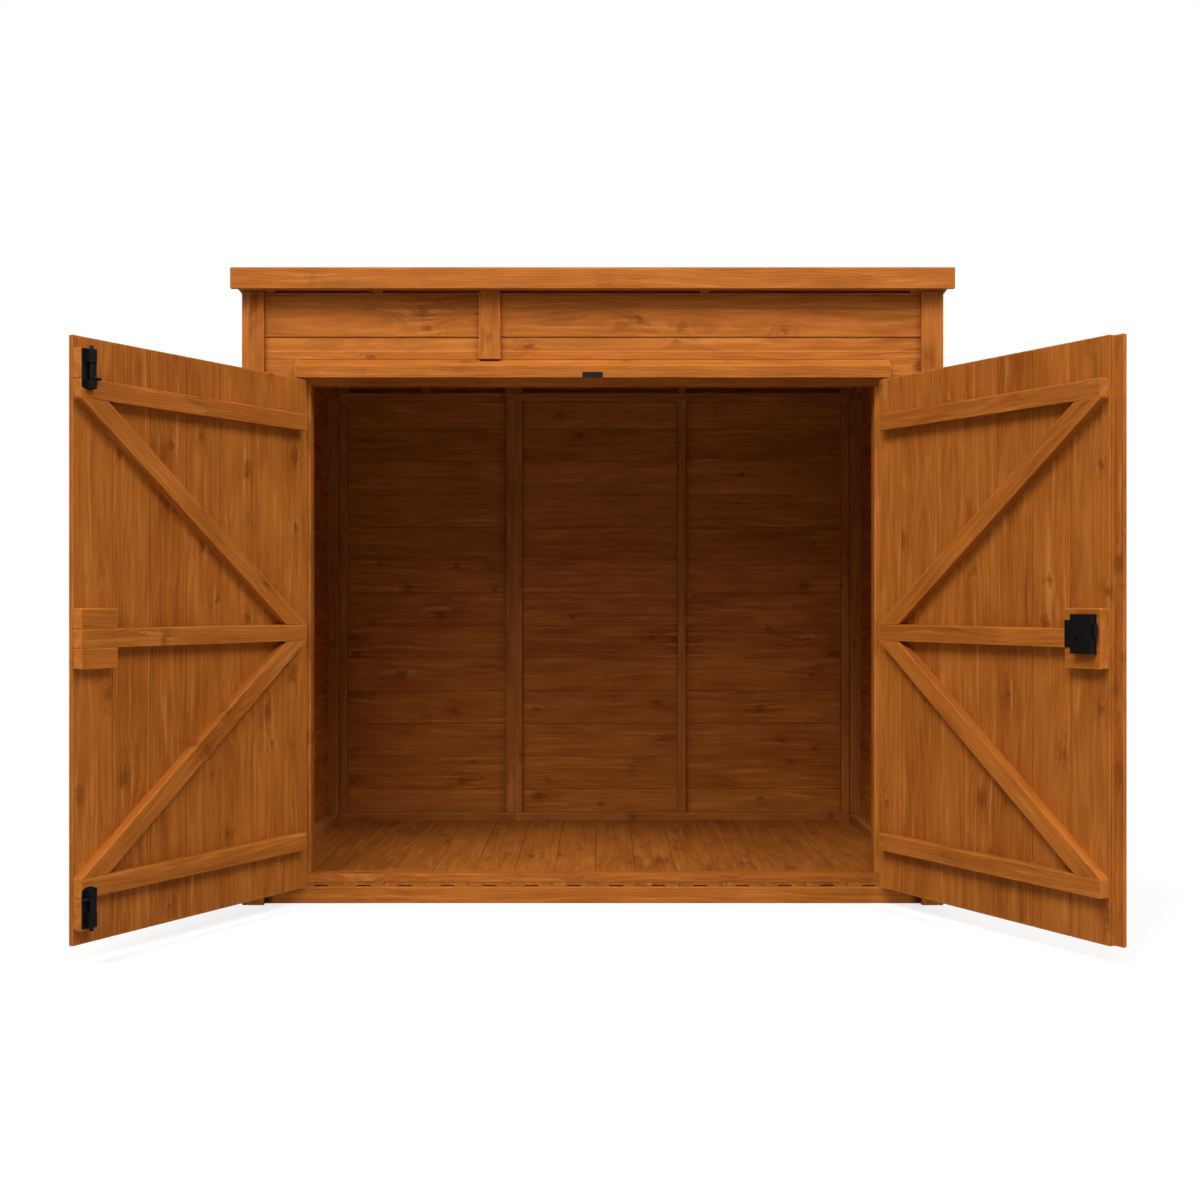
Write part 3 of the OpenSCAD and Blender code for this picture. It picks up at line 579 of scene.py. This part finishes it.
def mineral_felt():
    """Crushed slate on bitumen: a fine cell noise for the chips, and a slow noise where the weather has
    run."""
    material = bpy.data.materials.new("mineral felt")
    material.use_nodes = True
    tree = material.node_tree
    shader = tree.nodes["Principled BSDF"]
    place = add(tree, "TexCoord").outputs["Object"]
    chips = add(tree, "TexVoronoi", {"Vector": place, "Scale": 420.0})
    shade = add(tree, "SeparateXYZ", {0: chips.outputs["Color"]})
    long = add(tree, "VectorMath", {0: place, 1: (6.0, 1.5, 6.0)}, operation="MULTIPLY")
    runs = add(tree, "TexNoise", {"Vector": long.outputs[0], "Scale": 1.6, "Detail": 5.0, "Roughness": 0.6})
    much = add(tree, "Math", {0: shade.outputs[0], 1: 0.45, 2: runs.outputs["Fac"]},
               operation="MULTIPLY_ADD")
    value = add(tree, "MapRange", {"Value": much.outputs[0], "From Min": 0.35, "From Max": 1.1})
    colour = tinted(tree, value.outputs[0], (0.022, 0.034, 0.026, 1.0), (0.105, 0.135, 0.105, 1.0))
    bump = add(tree, "Bump", {"Strength": 0.6, "Distance": 0.0008, "Height": shade.outputs[1]})
    tree.links.new(colour, shader.inputs["Base Color"])
    tree.links.new(bump.outputs[0], shader.inputs["Normal"])
    shader.inputs["Roughness"].default_value = 0.93
    return material


def felt_sheet(y0, y1, rise):
    """A sheet on a grid: the roof's slope plus a rise that may change down the slope, and a slight
    cockle."""
    nx, ny = 120, 50
    x, y = np.meshgrid(np.linspace(low.x, high.x, nx), np.linspace(y0, y1, ny), indexing="ij")
    cockle = 0.00012 * (1 + np.sin(9.1 * x + 2.3 * y) * np.sin(5.3 * x - 7.0 * y))
    z = under(y) + deck_top + rise(y) + cockle
    i = np.arange(nx - 1)[:, None] * ny + np.arange(ny - 1)
    quads = np.stack([i, i + ny, i + ny + 1, i + 1], -1).reshape(-1, 4)
    return np.stack([x, y, z], -1).reshape(-1, 3), quads


deck_top = rafter_h + clear + board_t
low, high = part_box("roof_felt")
lap_y, lap_w = 0.06, 0.08
sheets = [felt_sheet(lap_y - lap_w, high.y, lambda y: 0.00005 + 0 * y),
          felt_sheet(low.y, lap_y, lambda y: 0.0010 * np.clip((y - lap_y + lap_w + 0.03) / 0.03, 0, 1))]
co = np.concatenate([sheet[0] for sheet in sheets])
quads = np.concatenate([sheet[1] + k * len(sheet[0]) for k, sheet in enumerate(sheets)])
mesh = bpy.data.meshes.new("felt")
mesh.from_pydata(co.tolist(), [], quads.tolist())
mesh.polygons.foreach_set("use_smooth", np.ones(len(quads), bool))
mesh.materials.append(mineral_felt())
felt = bpy.data.objects.new("felt", mesh)
bpy.context.scene.collection.objects.link(felt)
wall = felt.modifiers.new("thickness", "SOLIDIFY")
wall.thickness = 0.0007
wall.offset = 1.0
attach(felt, "shed")
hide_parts("roof_felt")

# ---- Fascias, bargeboards and trims --------------------------------------------------------------------
# Planed boards close the roof's edges: a deep fascia along the front and back, bargeboards down the
# sides. Trims cover the corners of the walls, and a strip covers the joint between the two panels.
for name, node in (("fascia", "front_fascia"), ("back_fascia", "rear_fascia")):
    low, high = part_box(node)
    made(name, [timber(low, high, 0, arris=0.002)], outer_wood, "shed", [node])
low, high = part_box("side_bargeboards")
barge_t = 0.014
barge_low, barge_high = 0.0143, 0.0543
barges = [downhill(x, x + barge_t, low.y, high.y, barge_low, barge_high) for x in (low.x, high.x - barge_t)]
made("bargeboards", barges, outer_wood, "shed", ["side_bargeboards"])
trim_w, trim_t = 0.047, 0.014
face_w, face_d = clad_w + trim_t, clad_d + trim_t
ends = [timber((x, y, 0), (x + trim_w, y + trim_t, 0), 2, to_roof)
        for x in (-clad_w, clad_w - trim_w) for y in (-face_d, clad_d)]
made("end_trims", ends, outer_wood, "shed", ["corner_trims"])
sides = [timber((x, y, 0), (x + trim_t, y + trim_w, 0), 2, to_roof)
         for x in (-face_w, clad_w) for y in (-face_d, face_d - trim_w)]
made("side_trims", sides, outer_wood, "shed", ["side_corner_trims"])
low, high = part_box("cover_strips")
drip_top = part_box("drip_board")[1].z
strips = [timber((low.x, -face_d, drip_top), (high.x, -clad_d, 0), 2, to_roof),
          timber((low.x, clad_d, wall_z), (high.x, face_d, 0), 2, to_roof)]
made("joint_strips", strips, outer_wood, "shed", ["cover_strips"])

# ---- Drip board ----------------------------------------------------------------------------------------
# A bevelled board over the doors throws the rain clear of them. It is nailed through its back edge,
# which is let in between the wall boards, and a small black plate is screwed to the middle of its face.
low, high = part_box("drip_board")
nose = [(low.y, low.z), (-clad_d, low.z), (-clad_d, high.z), (low.y, high.z - 0.020)]
tail = [(-clad_d, low.z), (-half_d, low.z), (-half_d, high.z), (-clad_d, high.z)]
drip = [sawn(nose, (0, 0, 0), (0, 1, 0), (0, 0, 1), low.x, high.x, 0.0012),
        sawn(tail, (0, 0, 0), (0, 1, 0), (0, 0, 1), -jamb_out, jamb_out, 0.0004)]
made("drip", drip, outer_wood, "shed", ["drip_board"])

# ---- Doors ---------------------------------------------------------------------------------------------
# Each door is upright shiplap nailed to three ledges, with two braces that rise from the hinge side.
# They are made in the shut position and swung open about the hinge. The left one also carries blocks
# for its bolts.
joints = {joint["name"]: joint for joint in frame["joints"]}


def swing(side):
    """Turns shut-position points about the upright hinge axis to where the door stands at rest."""
    joint = joints[side + "_door_hinge"]
    pin = np.array(joint["pos_m"])
    shut = max(joint["range_deg"], key=abs)
    angle = -math.radians(shut)
    c, s = math.cos(angle), math.sin(angle)
    turn = np.array([[c, s, 0], [-s, c, 0], [0, 0, 1]])
    return lambda co: (co - pin) @ turn + pin


def bar(side, x0, x1, z0, z1):
    """A timber on the inner face of a door; x is measured from the middle of the doorway towards the
    hinge."""
    xs = sorted((side * x0, side * x1))
    return timber((xs[0], ledge_back, z0), (xs[1], ledge_face, z1), 0)


def braced(side, z_hinge, z_free):
    """A brace between two heights, from the ledges' hinge end at one to their free end at the other. Its
    level cut is as wide as makes the brace itself 48 mm wide, and both ends are cut level along the
    ledges."""
    rise, run = z_free - z_hinge, ledge_end - ledge_free
    wide = 0.048
    reach = math.sqrt(rise ** 2 + run ** 2 - wide ** 2)
    cut = (wide * abs(rise) * reach - wide ** 2 * run) / (rise ** 2 - wide ** 2)
    along = np.array([side * (ledge_free + cut - ledge_end), 0.0, rise])
    along /= np.linalg.norm(along)
    deep = np.array([0.0, 1.0, 0.0])
    across = np.cross(deep, along)
    ws = sorted((0.0, -side * cut * across[0]))
    outline = [(ws[0], ledge_back), (ws[1], ledge_back), (ws[1], ledge_face), (ws[0], ledge_face)]
    corner = (side * ledge_end, 0.0, z_hinge)
    return sawn(outline, corner, across, deep, lambda q: (z_hinge - q[:, 2]) / along[2],
                lambda q: (z_free - q[:, 2]) / along[2], 0.0018)


door_free, door_edge = 0.006, 0.805
door_z, door_top = 0.052, 1.461
ledge_back, ledge_face = -0.5925, -0.5645
ledge_free, ledge_end = 0.0085, 0.775
ledge_w = 0.045
ledge_z = (0.163, 0.738, 1.315)
pad_x, pad_low, pad_high = 0.1165, 0.690, 0.831
bolt_pad_x, bolt_pad_low, bolt_pad_high = 0.0525, 0.088, 1.430
for side, name in ((-1, "left"), (1, "right")):
    boards = []
    for x in np.arange(door_free, door_edge, cover):
        outline = shiplap(0.0, min(cover, door_edge - x))
        ends = (door_z, door_top) if side < 0 else (-door_top, -door_z)
        boards.append(sawn(outline, (side * x, ledge_back, 0), (side, 0, 0), (0, -1, 0), *ends, 0.0015))
    ledges = [bar(side, ledge_free, ledge_end, z, z + ledge_w) for z in ledge_z]
    if side > 0:
        ledges[1] = bar(side, pad_x, ledge_end, ledge_z[1], ledge_z[1] + ledge_w)
    braces = [braced(side, ledge_z[1] + ledge_w, ledge_z[2]), braced(side, ledge_z[1], ledge_z[0] + ledge_w)]
    for what, parts in (("boards", boards), ("ledges", ledges), ("braces", braces)):
        made(f"{name}_{what}", parts, outer_wood, f"{name}_door",
             [f"{name}_door_{what}"], swing(name))
blocks = [bar(-1, ledge_free, x, z0, z1) for x, z0, z1 in (
    (bolt_pad_x, ledge_z[2] + ledge_w, bolt_pad_high), (bolt_pad_x, bolt_pad_low, ledge_z[0]),
    (pad_x, pad_low, ledge_z[1]), (pad_x, ledge_z[1] + ledge_w, pad_high))]
made("left_blocks", blocks, outer_wood, "left_door", ["left_door_blocks"], swing("left"))
made("lock_pad", [bar(1, ledge_free, pad_x, pad_low, pad_high)], outer_wood, "right_door",
     ["lock_block"], swing("right"))
strip_l, strip_r, strip_face, rebate_y = -0.019, 0.028, -0.6185, -0.6095
outline = [(strip_l, strip_face), (strip_r, strip_face), (strip_r, ledge_back - board_t),
           (door_free, ledge_back - board_t), (door_free, rebate_y), (strip_l, rebate_y)]
made("door_strip", [sawn(outline, (0, 0, 0), (1, 0, 0), (0, 1, 0), door_z, door_top, 0.0018)], outer_wood,
     "right_door", ["meeting_strip"], swing("right"))

# ---- Hinges, bolts and lock ----------------------------------------------------------------------------
# Black lacquered steel: tee hinges outside, tower bolts and a rim lock inside, all screwed to the
# timber. Pressings keep their made shape with the edges broken, and each screw has a domed head.


def worn_lacquer():
    """How lacquer lies and wears on steel: a pebbled height, and patches rubbed by hands, both from
    noises."""
    gives = [("Height", "Float"), ("Rubbed", "Float")]
    tree, given, out = group("worn lacquer", [("Place", "Vector")], gives)
    fine = add(tree, "TexNoise", {"Vector": given.outputs["Place"], "Scale": 420.0, "Detail": 2.0})
    slow = add(tree, "TexNoise", {"Vector": given.outputs["Place"], "Scale": 38.0, "Detail": 4.0,
                                  "Roughness": 0.65})
    patch = add(tree, "MapRange", {"Value": slow.outputs["Fac"], "From Min": 0.45, "From Max": 0.75})
    tree.links.new(fine.outputs["Fac"], out.inputs["Height"])
    tree.links.new(patch.outputs[0], out.inputs["Rubbed"])
    return tree


lacquer_group = worn_lacquer()


def steel(name, full, thin, metal, rough, pebble):
    """Steel with a finish: its full colour goes to its thin colour, and smoother, where it has been
    handled."""
    material = bpy.data.materials.new(name)
    material.use_nodes = True
    tree = material.node_tree
    shader = tree.nodes["Principled BSDF"]
    wear = add(tree, "Group", node_tree=lacquer_group)
    tree.links.new(add(tree, "TexCoord").outputs["Object"], wear.inputs["Place"])
    colour = tinted(tree, wear.outputs["Rubbed"], full, thin)
    gloss = add(tree, "MapRange", {"Value": wear.outputs["Rubbed"], "To Min": rough, "To Max": rough - 0.14})
    bump = add(tree, "Bump", {"Strength": pebble, "Distance": 0.0003, "Height": wear.outputs["Height"]})
    tree.links.new(colour, shader.inputs["Base Color"])
    tree.links.new(gloss.outputs[0], shader.inputs["Roughness"])
    tree.links.new(bump.outputs[0], shader.inputs["Normal"])
    shader.inputs["Metallic"].default_value = metal
    shader.inputs["Specular IOR Level"].default_value = 0.5 if metal else 0.14
    return material


black_iron = steel("black iron", (0.0020, 0.0020, 0.0022, 1.0), (0.0060, 0.0060, 0.0062, 1.0),
                   0.0, 0.48, 0.5)
nail_heads = steel("stained nail heads", (0.120, 0.040, 0.008, 1.0), (0.200, 0.075, 0.020, 1.0),
                   0.0, 0.60, 0.3)
bright_steel = steel("bright steel", (0.42, 0.42, 0.43, 1.0), (0.62, 0.62, 0.62, 1.0), 1.0, 0.38, 0.15)
for node in ("frame_hinges", "left_door_straps", "right_door_straps", "bolt_housings", "top_bolt",
             "bottom_bolt", "drip_plate"):
    finished(node, black_iron, 0.0007)
for node in ("lock_case", "lock_bolt"):
    finished(node, black_iron, 0.0014)


def domes(spots, outward, radius, height, place=None, sides=12):
    """Domed heads on a list of spots: rings of a flattened half sphere, closed by a cap, facing outward."""
    out = np.asarray(outward, float)
    first = np.cross(out, (0.0, 0.0, 1.0) if abs(out[2]) < 0.9 else (1.0, 0.0, 0.0))
    first /= np.linalg.norm(first)
    second = np.cross(out, first)
    turn = np.arange(sides) * 2 * math.pi / sides
    circle = np.cos(turn)[:, None] * first + np.sin(turn)[:, None] * second
    lift = np.array([-0.25, 0.0, 0.55, 0.9])[:, None, None]
    wide = np.array([1.0, 1.0, 0.82, 0.45])[:, None, None]
    one = (wide * radius * circle + lift * height * out).reshape(-1, 3)
    i = np.arange(sides)
    j = (i + 1) % sides
    ring = np.arange(3)[:, None] * sides
    quads = np.stack(np.broadcast_arrays(ring + i, ring + j, ring + sides + j, ring + sides + i), -1)
    faces = quads.reshape(-1, 4).tolist() + [(3 * sides + i).tolist(), i[::-1].tolist()]
    co = (np.asarray(spots, float)[:, None] + one).reshape(-1, 3)
    co = place(co) if place else co
    return co, [[k + s * len(one) for k in face] for s in range(len(spots)) for face in faces]


def heads(name, lots, material, body):
    """Joins several lots of domed heads into one piece on a body."""
    start = np.cumsum([0] + [len(co) for co, faces in lots]).tolist()
    mesh = bpy.data.meshes.new(name)
    mesh.from_pydata(np.concatenate([co for co, faces in lots]).tolist(), [],
                     [[k + s for k in face] for (co, faces), s in zip(lots, start) for face in faces])
    mesh.polygons.foreach_set("use_smooth", np.ones(len(mesh.polygons), bool))
    mesh.materials.append(material)
    piece = bpy.data.objects.new(name, mesh)
    bpy.context.scene.collection.objects.link(piece)
    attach(piece, body)


frame_screws = [(s * 0.840, -0.6025, z + ledge_w / 2 + up)
                for s in (-1, 1) for z in ledge_z for up in (-0.03, 0.03)]
plate_screws = [(x, -0.6365, 1.4735) for x in (-0.021, 0.021)]
frame_heads = [domes(frame_screws, (0, -1, 0), 0.0042, 0.0014),
               domes(plate_screws, (0, -1, 0), 0.0022, 0.0008)]
heads("frame_screws", frame_heads, black_iron, "shed")
for side, name in ((-1, "left"), (1, "right")):
    strap = [(side * (door_edge - x), -0.6075, z + ledge_w / 2) for z in ledge_z for x in (0.06, 0.15, 0.24)]
    lots = [domes(strap, (0, -1, 0), 0.0042, 0.0014, swing(name))]
    if side < 0:
        bolt_x = -(ledge_free + bolt_pad_x) / 2
        bolts = [(bolt_x + x, -0.5625, z) for x in (-0.0155, 0.0155)
                 for z in (1.399, 1.361, bolt_pad_low + 0.036, bolt_pad_low + 0.074)]
        lots.append(domes(bolts, (0, 1, 0), 0.0030, 0.0012, swing(name)))
    else:
        tab = [(0.1015, -0.5615, z) for z in (0.747, 0.795)]
        case = [(x, -0.5445, z) for x in (0.027, 0.076) for z in (0.731, 0.811)]
        lots.append(domes(tab, (0, 1, 0), 0.0034, 0.0014, swing(name)))
        lots.append(domes(case, (0, 1, 0), 0.0024, 0.0009, swing(name)))
    heads(f"{name}_screws", lots, black_iron, f"{name}_door")

# ---- Nails ---------------------------------------------------------------------------------------------
# Stained wire nails hold the boards: one to each stud through the side and back boards, and two to each
# inner joist through the whole floor boards. Bright clout nails follow the felt's lap and its edge.
rows = course_z + cover * np.arange(14) + 0.030
lots = []
half = stud / 2
for x in (half - inner_w, joint_x - half, joint_x + half, mid_stud + half, inner_w - half):
    lots.append(domes([(x, clad_d, z) for z in rows[rows < 1.57]], (0, 1, 0), 0.0026, 0.0006, sides=8))
for s in (-1, 1):
    for y in (half - inner_d, 0.0, inner_d - half):
        spots = [(s * clad_w, y, z) for z in rows if z < under(y) - 0.02]
        lots.append(domes(spots, (s, 0, 0), 0.0026, 0.0006, sides=8))
boards_x = np.arange(half_w, -0.93, -cover)
joist_y = np.linspace(-0.5735, 0.5735, 5)[1:-1]
spots = [(x - off, y, floor_z) for x in boards_x[:-1] for off in (0.03, 0.088) for y in joist_y]
lots.append(domes(spots, (0, 0, 1), 0.0026, 0.0005, sides=8))
heads("nails", lots, nail_heads, "shed")
felt_top = deck_top + 0.0011
clouts = [(x, y, under(y) + felt_top + lift) for x in np.linspace(-0.965, 0.965, 40)
          for y, lift in ((-0.627, 0), (0.045, 0.001), (0.627, 0))]
clouts += [(x, y, under(y) + felt_top) for x in (-0.966, 0.966) for y in np.linspace(-0.56, 0.56, 20)]
upward = np.array((0, drop, depth)) / math.hypot(drop, depth)
heads("clout_nails", [domes(clouts, upward, 0.0050, 0.0006, sides=8)], bright_steel, "shed")

# ---- Ground and light ----------------------------------------------------------------------------------
# A plain pale floor under soft studio light: a pale surround, three broad lamps high in front and a
# weak one behind. The camera, gloss and glass see the surround as plain white.
ground_paint = bpy.data.materials.new("pale floor")
ground_paint.use_nodes = True
tree = ground_paint.node_tree
paint = tree.nodes["Principled BSDF"]
paint.inputs["Base Color"].default_value = (0.40, 0.40, 0.40, 1.0)
paint.inputs["Roughness"].default_value = 0.9
paint.inputs["Specular IOR Level"].default_value = 0.0
paint.inputs["Emission Color"].default_value = (1.0, 1.0, 1.0, 1.0)
seen = add(tree, "LightPath").outputs["Is Camera Ray"]
near = add(tree, "Math", {0: seen, 1: 0.64}, operation="MULTIPLY")
tree.links.new(near.outputs[0], paint.inputs["Emission Strength"])
away = add(tree, "VectorMath", {0: add(tree, "TexCoord").outputs["Object"]}, operation="LENGTH")
far = add(tree, "MapRange", {"Value": away.outputs["Value"], "From Min": 1.9, "From Max": 3.2},
          interpolation_type="SMOOTHSTEP")
much = add(tree, "Math", {0: far.outputs[0], 1: seen}, operation="MULTIPLY")
white = add(tree, "Emission", {"Color": (1.0, 1.0, 1.0, 1.0), "Strength": 1.0})
both = add(tree, "MixShader", {0: much.outputs[0], 1: paint.outputs[0], 2: white.outputs[0]})
tree.links.new(both.outputs[0], tree.nodes["Material Output"].inputs["Surface"])
mesh = bpy.data.meshes.new("ground")
mesh.from_pydata([(-40, -40, 0), (40, -40, 0), (40, 40, 0), (-40, 40, 0)], [], [(0, 1, 2, 3)])
mesh.materials.append(ground_paint)
ground = bpy.data.objects.new("ground", mesh)
bpy.context.scene.collection.objects.link(ground)
world = bpy.data.worlds.new("studio")
world.use_nodes = True
bpy.context.scene.world = world
tree = world.node_tree
path = add(tree, "LightPath")
direct = add(tree, "Math", {0: path.outputs["Is Camera Ray"], 1: path.outputs["Is Glossy Ray"]},
             operation="MAXIMUM")
plain = add(tree, "Math", {0: direct.outputs[0], 1: path.outputs["Is Transmission Ray"]},
            operation="MAXIMUM")
level = add(tree, "MapRange", {"Value": plain.outputs[0], "To Min": 0.22, "To Max": 1.0})
tree.nodes["Background"].inputs["Color"].default_value = (1.0, 1.0, 1.0, 1.0)
tree.links.new(level.outputs[0], tree.nodes["Background"].inputs["Strength"])
lamps = (("key", (-4.6, -7.4, 10.6), 5.2, 1270.0), ("fill", (6.0, -7.1, 10.0), 5.2, 960.0),
         ("front", (-1.2, -12.0, 7.9), 4.4, 370.0), ("back", (2.6, 11.0, 7.0), 5.2, 400.0))
for name, spot, size, power in lamps:
    lamp = bpy.data.lights.new(name, "AREA")
    lamp.size = size
    lamp.energy = power
    shine = bpy.data.objects.new(name, lamp)
    bpy.context.scene.collection.objects.link(shine)
    shine.location = spot
    towards = np.array((0.0, 0.0, 0.9)) - spot
    shine.rotation_euler = (math.acos(-towards[2] / np.linalg.norm(towards)), 0.0,
                            math.atan2(towards[1], towards[0]) - math.pi / 2)

bpy.context.scene.view_settings.view_transform = "Standard"
